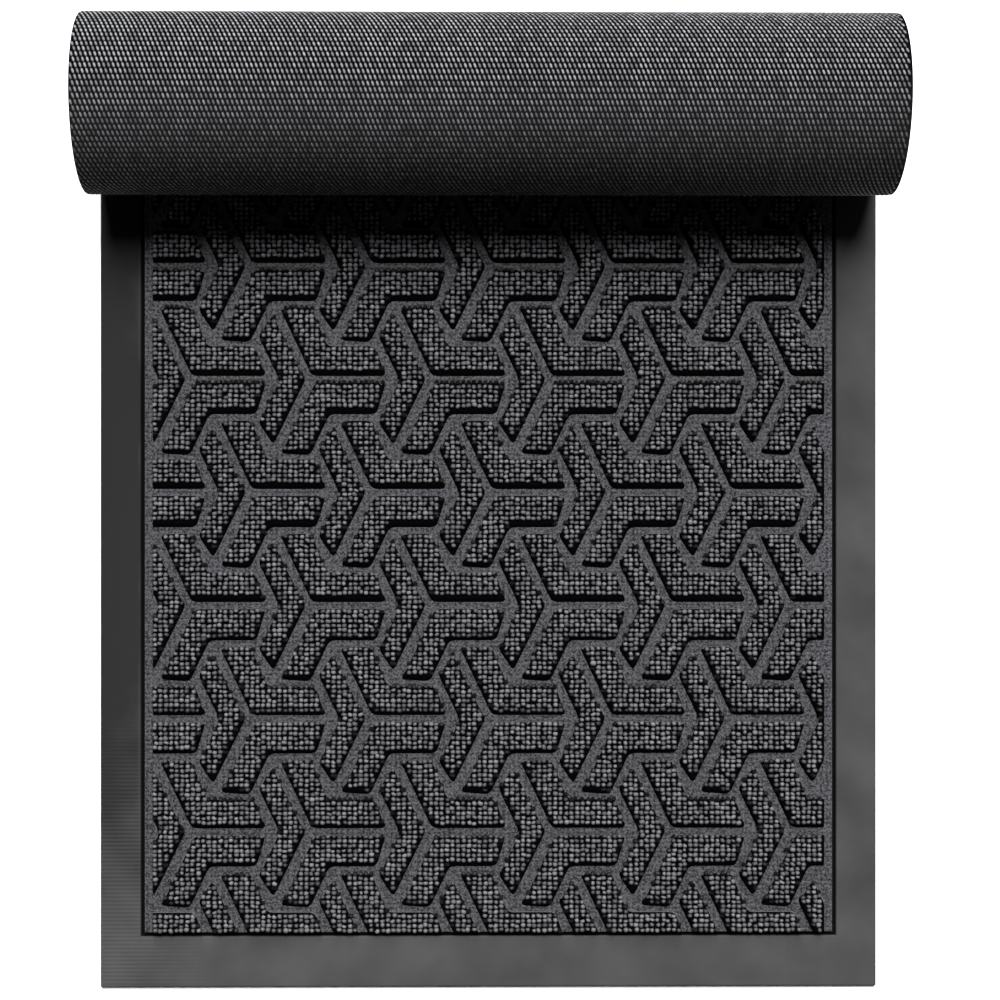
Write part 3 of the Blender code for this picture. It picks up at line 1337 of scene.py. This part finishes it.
@dataclass(frozen=True)
class Sun:
    """A broad soft light so far off that it is even over the floor."""

    name: str
    height: float  # elevation in degrees
    bearing: float  # degrees to the right of straight behind the roll
    spread: float  # how wide it looks from the mat, in degrees
    strength: float  # watts on each square metre that faces it

    def place(self) -> None:
        """Adds the light to the scene."""
        data = bpy.data.lights.new(self.name, "SUN")
        data.angle = math.radians(self.spread)
        data.energy = self.strength
        lamp = add_object(self.name, data)
        lamp.location = (0, 0, 2)
        lamp.rotation_euler = (math.radians(self.height - 90), 0, -math.radians(self.bearing))


@dataclass
class Studio:
    """A pale floor, soft lights and the camera straight above the mat."""

    roll: Roll
    camera_x: float = -0.0147  # from the middle of the mat
    camera_s: float = 0.2598  # from its near edge
    camera_height: float = 1.1172
    lens: float = 72.0  # in millimetres
    tilt: float = math.radians(0.5)  # how far the camera looks to the right of straight down
    shift: float = 0.02  # of the lens, both ways, as a share of the picture
    fill: float = 0.08  # strength of the light from all round
    floor_size: float = 12.0
    floor_colour: str = "#f4f4f4"
    floor_roughness: float = 0.9
    floor_gap: float = 0.0005  # keeps the floor from touching the underside
    suns: tuple[Sun, ...] = (Sun("key", 57, 7, 32, 9.0), Sun("rim", 21, 2, 26, 3.0))

    def floor(self) -> None:
        """Lays the floor."""
        deselect()
        bpy.ops.mesh.primitive_plane_add(size=self.floor_size, location=(0, 0, -self.floor_gap))
        floor = bpy.context.object
        floor.name = "floor"
        material = bpy.data.materials.new("pale_floor")
        material.use_nodes = True
        looks = {"Base Color": linear(self.floor_colour), "Roughness": self.floor_roughness}
        set_up(material.node_tree.nodes["Principled BSDF"], looks, {})
        floor.data.materials.append(material)

    def backdrop(self) -> None:
        """Makes the world a dim fill light that looks white behind the floor."""
        world = bpy.data.worlds.new("studio")
        world.use_nodes = True
        tree = world.node_tree
        seen = add_node(tree, "ShaderNodeLightPath").outputs["Is Camera Ray"]
        fill = tree.nodes["Background"]
        set_up(fill, {"Color": linear("#f2f2f2"), "Strength": self.fill}, {})
        white = add_node(tree, "ShaderNodeBackground", {"Color": linear("#ffffff"), "Strength": 1.0})
        mix = add_node(tree, "ShaderNodeMixShader", links={0: seen, 1: fill, 2: white})
        set_up(tree.nodes["World Output"], {}, {"Surface": mix})
        bpy.context.scene.world = world

    def build(self) -> None:
        """Sets the studio up."""
        self.floor()
        for sun in self.suns:
            sun.place()
        self.backdrop()
        bpy.context.scene.view_settings.view_transform = "Standard"
        data = bpy.data.cameras.new("camera")
        data.lens = self.lens
        data.shift_x = self.shift
        data.shift_y = self.shift
        camera = add_object("camera", data)
        camera.location = (self.camera_x, self.roll.near_edge + self.camera_s, self.camera_height)
        camera.rotation_euler = (0, -self.tilt, 0)
        bpy.context.scene.camera = camera


def main() -> None:
    """Builds the mat in its frame."""
    logging.basicConfig(level=logging.INFO, format="%(name)s: %(message)s")
    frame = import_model()
    roll = Roll.of_frame(frame)
    Studio(roll).build()
    # Painted shade between the nubs eases towards the free end, where the roll's painted shade darkens the
    # nubs.
    shade_easing = Fade(ROLL_SHADE_FROM, ROLL_SHADE_TO, 0.0, 0.6)
    finishes = {
        "rubber": RubberFinish("moulded_rubber", "#1b1b1b", "#404041", 0.7, 0.05),
        # painted highlight on the nub tops, painted shade at their feet and towards the free end
        "nubs": NubFinish("cloth_marked_rubber", "#080808", "#757579", 0.6, 0.08),
        # painted shade between the nubs and in the groove round the carpet
        "dusty_rubber": ShadedFinish("dusty_rubber", "#040404", "#242424", 1.0, 0.0, fleck=0.1, dusted=shade_easing),
        "felt": FeltFinish("pressed_pile", "#18181a", "#48484b", 1.0, 0.05),
        # painted highlight at the loops' crowns, painted shade at their roots
        "yarn": YarnFinish("looped_yarn", "#020202", "#5c5c60", 0.85, 0.08),
        # painted shade on the islands, between the loops and on their sides away from the lights
        "yarn_feet": ShadedFinish("yarn_feet", "#010101", "#070707", 1.0, 0.0),
    }
    materials = {name: finish.material() for name, finish in finishes.items()}
    DoorMat(roll, frozenset(frame["nodes"])).build(materials)
    bpy.context.view_layer.update()


if __name__ == "__main__":
    main()
